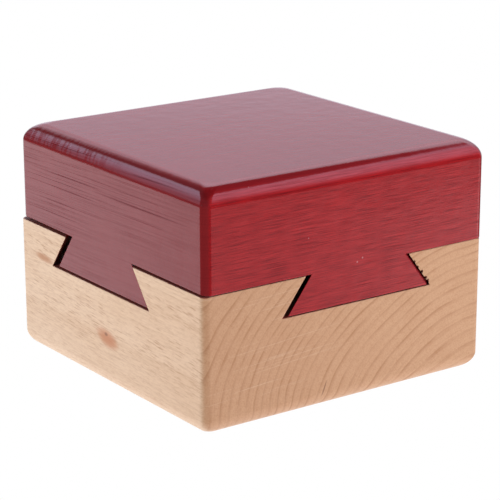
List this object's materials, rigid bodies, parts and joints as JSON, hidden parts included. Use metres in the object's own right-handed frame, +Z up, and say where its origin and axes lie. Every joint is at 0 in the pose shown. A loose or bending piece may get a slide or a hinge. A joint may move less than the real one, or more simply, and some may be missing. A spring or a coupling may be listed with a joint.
{
  "type": "puzzle box",
  "caption": "Square wooden puzzle box: a lacquered lid block keyed to its base by diagonal dovetails, with gravity locking pins and a hidden compartment.",
  "frame": {"origin": "centre of the base block's underside, on the surface the box stands on", "axes": "+Z up; side faces square to X and Y; the lid slides along the diagonal between the (-X, -Y) and (+X, +Y) corners"},
  "size_m": [0.085, 0.085, 0.06],
  "materials": {
    "natural_wood": "bare fine-sanded beech",
    "red_lacquered_wood": "translucent red gloss lacquer over wood",
    "pin_steel": "turned bright steel",
    "bush_brass": "turned brass"
  },
  "bodies": {
    "base": {"base_block": "natural_wood", "base_pin_bush": "bush_brass"},
    "lid": {"lid_block": "red_lacquered_wood", "lid_pin_bush": "bush_brass"},
    "lid_pin": {"lid_lock_pin": "pin_steel"},
    "base_pin": {"base_lock_pin": "pin_steel"}
  },
  "joints": [
    {"name": "lid_slide", "type": "slide", "parent": "base", "child": "lid", "axis": [0.7071, 0.7071, 0], "range_m": [-0.125, 0.125]},
    {"name": "lid_pin_drop", "type": "slide", "parent": "lid", "child": "lid_pin", "axis": [0, 0, -1], "range_m": [0, 0.007]},
    {"name": "base_pin_rise", "type": "slide", "parent": "base", "child": "base_pin", "axis": [0, 0, 1], "range_m": [0, 0.007]}
  ]
}
